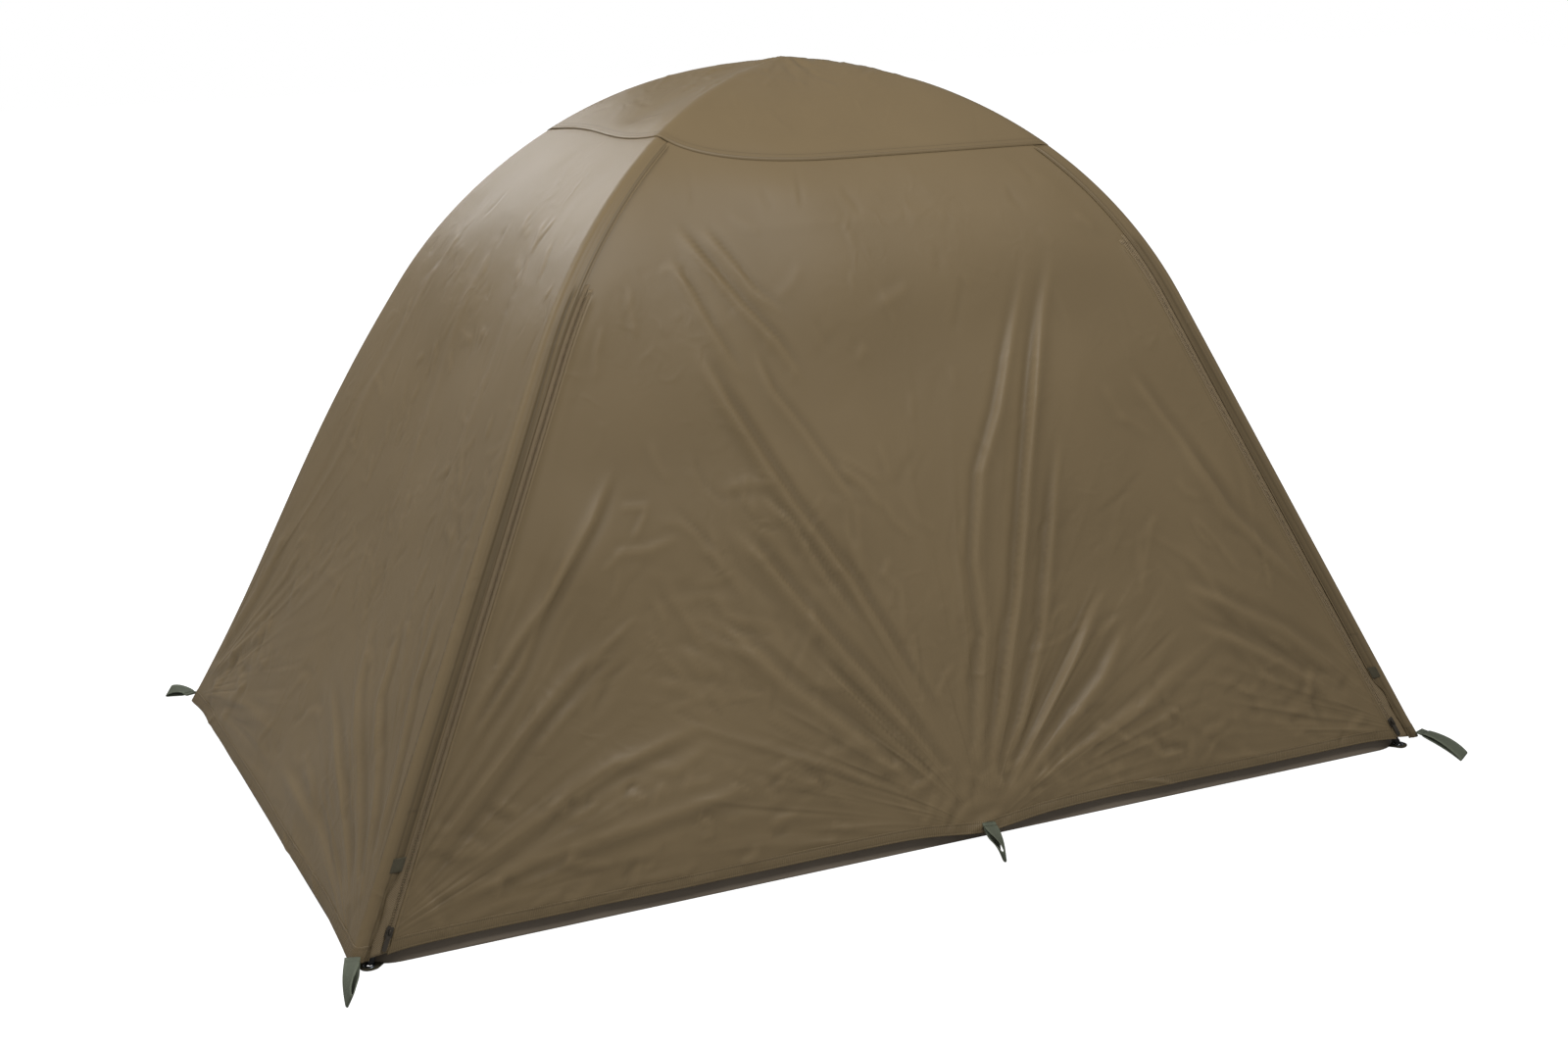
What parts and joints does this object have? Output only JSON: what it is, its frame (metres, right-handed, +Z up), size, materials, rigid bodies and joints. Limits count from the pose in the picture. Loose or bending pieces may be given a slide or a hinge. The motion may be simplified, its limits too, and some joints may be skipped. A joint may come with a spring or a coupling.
{
  "type": "bivvy tent",
  "caption": "Low one-person dome tent with crossed shock-corded poles, a tub groundsheet, and a front door zipped along both ridges, pitched and closed.",
  "frame": {"origin": "on the ground, at the middle of the groundsheet", "axes": "+X along the door side of the base, to the right for someone who looks at the door from outside; +Y from the door to the back; +Z up"},
  "size_m": [2.2288, 1.4766, 1.3309],
  "materials": {
    "fly_cloth": "thin coated polyester, satin, olive brown",
    "tub_cloth": "coated oxford cloth, matt, dark grey brown",
    "webbing": "ribbed woven webbing, grey green",
    "zip_tape": "woven tape with a nylon coil",
    "zip_metal": "enamelled die casting",
    "pole_tube": "dark anodised",
    "eyelet_steel": "plated",
    "black_plastic": "moulded, matt",
    "shock_cord": "braided cover over a rubber core"
  },
  "bodies": {
    "shelter": {"back_hem": "fly_cloth", "back_left_eyelet": "eyelet_steel", "back_left_pole_foot": "black_plastic", "back_left_sleeve": "fly_cloth", "back_left_tab": "webbing", "back_panel": "fly_cloth", "back_right_eyelet": "eyelet_steel", "back_right_pole_foot": "black_plastic", "back_right_sleeve": "fly_cloth", "back_right_tab": "webbing", "crossing_tie": "webbing", "front_header": "fly_cloth", "front_left_eyelet": "eyelet_steel", "front_left_pole_foot": "black_plastic", "front_left_sleeve": "fly_cloth", "front_left_tab": "webbing", "front_right_eyelet": "eyelet_steel", "front_right_pole_foot": "black_plastic", "front_right_sleeve": "fly_cloth", "front_right_tab": "webbing", "groundsheet": "tub_cloth", "left_hem": "fly_cloth", "left_panel": "fly_cloth", "left_zip_fly_half": "zip_tape", "left_zip_tab": "webbing", "lower_pole_cord": "shock_cord", "lower_pole_section_1": "pole_tube", "lower_pole_section_2": "pole_tube", "lower_pole_section_3": "pole_tube", "lower_pole_section_4": "pole_tube", "lower_pole_section_5": "pole_tube", "lower_pole_section_6": "pole_tube", "lower_pole_section_7": "pole_tube", "right_hem": "fly_cloth", "right_panel": "fly_cloth", "right_zip_fly_half": "zip_tape", "right_zip_tab": "webbing", "roof_cap": "fly_cloth", "upper_pole_cord": "shock_cord", "upper_pole_section_1": "pole_tube", "upper_pole_section_2": "pole_tube", "upper_pole_section_3": "pole_tube", "upper_pole_section_4": "pole_tube", "upper_pole_section_5": "pole_tube", "upper_pole_section_6": "pole_tube", "upper_pole_section_7": "pole_tube"},
    "door": {"door_panel": "fly_cloth", "door_hem": "fly_cloth", "left_zip_door_half": "zip_tape", "right_zip_door_half": "zip_tape"},
    "left_slider": {"left_zip_slider": "zip_metal"},
    "right_slider": {"right_zip_slider": "zip_metal"},
    "left_pull": {"left_zip_pull": "zip_metal"},
    "right_pull": {"right_zip_pull": "zip_metal"},
    "front_left_peg_loop_web": {"front_left_peg_loop": "webbing"},
    "front_right_peg_loop_web": {"front_right_peg_loop": "webbing"},
    "back_right_peg_loop_web": {"back_right_peg_loop": "webbing"},
    "back_left_peg_loop_web": {"back_left_peg_loop": "webbing"},
    "front_peg_loop_web": {"front_peg_loop": "webbing"},
    "back_peg_loop_web": {"back_peg_loop": "webbing"}
  },
  "joints": [
    {"name": "door_swing", "type": "hinge", "parent": "shelter", "child": "door", "pos_m": [0, -0.38802, 0.875], "axis": [-1, 0, 0], "range_deg": [0, 90]},
    {"name": "left_slider_run", "type": "slide", "parent": "shelter", "child": "left_slider", "axis": [0.4274, 0.2536, 0.8678], "range_m": [0, 0.956]},
    {"name": "right_slider_run", "type": "slide", "parent": "shelter", "child": "right_slider", "axis": [-0.4274, 0.2536, 0.8678], "range_m": [0, 0.956]},
    {"name": "left_pull_swing", "type": "hinge", "parent": "left_slider", "child": "left_pull", "pos_m": [-1.00746, -0.63176, 0.06069], "axis": [-0.9041, 0.1199, 0.4102], "range_deg": [0, 150]},
    {"name": "right_pull_swing", "type": "hinge", "parent": "right_slider", "child": "right_pull", "pos_m": [1.00746, -0.63176, 0.06069], "axis": [-0.9041, -0.1199, -0.4102], "range_deg": [0, 150]},
    {"name": "front_left_peg_loop_lift", "type": "hinge", "parent": "shelter", "child": "front_left_peg_loop_web", "pos_m": [-1.07131, -0.63776, 0.03294], "axis": [-0.9511, 0.309, 0], "range_deg": [0, 80]},
    {"name": "front_right_peg_loop_lift", "type": "hinge", "parent": "shelter", "child": "front_right_peg_loop_web", "pos_m": [1.07131, -0.63776, 0.03294], "axis": [-0.9511, -0.309, 0], "range_deg": [0, 80]},
    {"name": "back_right_peg_loop_lift", "type": "hinge", "parent": "shelter", "child": "back_right_peg_loop_web", "pos_m": [1.07131, 0.63776, 0.03294], "axis": [0.9511, -0.309, 0], "range_deg": [0, 80]},
    {"name": "back_left_peg_loop_lift", "type": "hinge", "parent": "shelter", "child": "back_left_peg_loop_web", "pos_m": [-1.07131, 0.63776, 0.03294], "axis": [0.9511, 0.309, 0], "range_deg": [0, 80]},
    {"name": "front_peg_loop_lift", "type": "hinge", "parent": "door", "child": "front_peg_loop_web", "pos_m": [0.092, -0.63745, 0.03294], "axis": [-1, 0, 0], "range_deg": [0, 80]},
    {"name": "back_peg_loop_lift", "type": "hinge", "parent": "shelter", "child": "back_peg_loop_web", "pos_m": [0, 0.63745, 0.03294], "axis": [1, 0, 0], "range_deg": [0, 80]}
  ]
}
